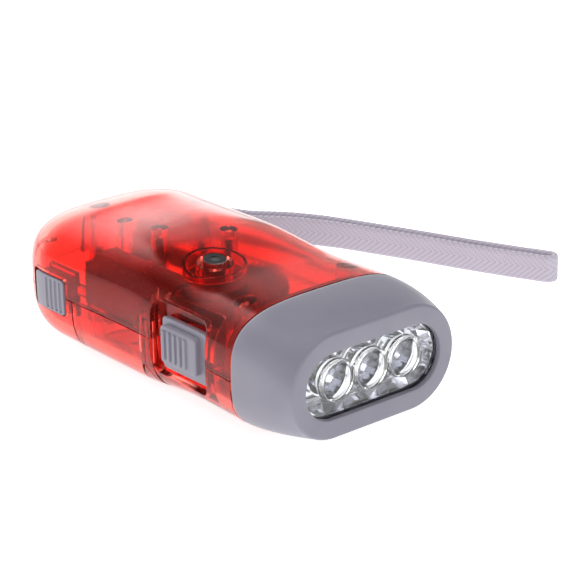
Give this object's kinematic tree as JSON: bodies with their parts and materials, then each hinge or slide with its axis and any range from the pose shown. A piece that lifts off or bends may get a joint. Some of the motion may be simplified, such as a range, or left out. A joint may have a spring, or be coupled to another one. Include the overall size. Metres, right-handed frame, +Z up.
{
  "type": "flashlight",
  "caption": "Palm-sized squeeze-lever flashlight: see-through body over a geared hand generator, grey lamp head, slide switch, lever latch and a wrist strap",
  "frame": {"origin": "on the flat that the body rests on, in the middle of its width and about half way along it", "axes": "+X out of the lens, +Z up, -Y towards the side with the lever, latch and switch"},
  "size_m": [0.1063, 0.1226, 0.0326],
  "materials": {
    "red_shell": "clear red moulded plastic, glossy, see-through",
    "grey_plastic": "moulded grey plastic, satin",
    "clear_plastic": "clear moulded plastic, polished",
    "reflector_coat": "vacuum-metallised plastic",
    "board": "lacquered circuit board",
    "cell_jacket": "satin",
    "dark_plastic": "satin",
    "white_plastic": "satin",
    "steel": "plain zinc-plated",
    "magnet": "sintered, dark",
    "core_iron": "stamped sheets",
    "copper_wire": "enamelled copper",
    "strap_fabric": "braided tape"
  },
  "bodies": {
    "casing": {"top_shell": "red_shell", "bottom_shell": "red_shell", "head_bezel": "grey_plastic", "coil_cradle": "grey_plastic", "lens_window": "clear_plastic", "led_left": "clear_plastic", "led_centre": "clear_plastic", "led_right": "clear_plastic", "reflector": "reflector_coat", "led_board": "board", "control_board": "board", "storage_cell": "cell_jacket", "capacitor": "dark_plastic", "rotor_bush": "dark_plastic", "coil_bobbin": "white_plastic", "switch_can": "steel", "lever_pin": "steel", "return_spring": "steel", "drive_axle": "steel", "second_axle": "steel", "case_screw_1": "steel", "case_screw_2": "steel", "case_screw_3": "steel", "case_screw_4": "steel", "stator_core": "core_iron", "coil_winding": "copper_wire", "wrist_strap": "strap_fabric", "strap_knot": "strap_fabric"},
    "lever": {"press_lever": "red_shell", "lever_sector": "grey_plastic"},
    "drive_gear_set": {"drive_gear": "dark_plastic"},
    "second_gear_set": {"second_gear": "white_plastic"},
    "rotor": {"rotor_pinion": "white_plastic", "rotor_magnet": "magnet", "rotor_axle": "steel"},
    "switch": {"switch_button": "grey_plastic"},
    "latch": {"latch_button": "grey_plastic"}
  },
  "joints": [
    {"name": "lever_swing", "type": "hinge", "parent": "casing", "child": "lever", "pos_m": [0.003, -0.02057, 0.01], "axis": [0, 0, 1], "range_deg": [0, 24], "stiffness_Nm_per_rad": 0.15, "springref_deg": 34.38},
    {"name": "drive_spin", "type": "hinge", "parent": "casing", "child": "drive_gear_set", "pos_m": [-0.01344, -0.00535, 0.01], "axis": [0, 0, 1], "range_deg": [-110.5, 0]},
    {"name": "second_spin", "type": "hinge", "parent": "casing", "child": "second_gear_set", "pos_m": [-0.00233, 0.0056, 0.014], "axis": [0, 0, 1], "range_deg": [0, 299.8]},
    {"name": "rotor_spin", "type": "hinge", "parent": "casing", "child": "rotor", "pos_m": [0.00918, -0.00745, 0.02], "axis": [0, 0, 1], "range_deg": [-942, 0]},
    {"name": "switch_slide", "type": "slide", "parent": "casing", "child": "switch", "axis": [1, 0, 0], "range_m": [-0.0026, 0]},
    {"name": "latch_slide", "type": "slide", "parent": "casing", "child": "latch", "axis": [1, 0, 0], "range_m": [-0.0015, 0]}
  ],
  "couplings": [
    {"joint": "drive_spin", "follows": "lever_swing", "ratio": -4.6},
    {"joint": "second_spin", "follows": "lever_swing", "ratio": 12.486},
    {"joint": "rotor_spin", "follows": "lever_swing", "ratio": -39.241}
  ]
}
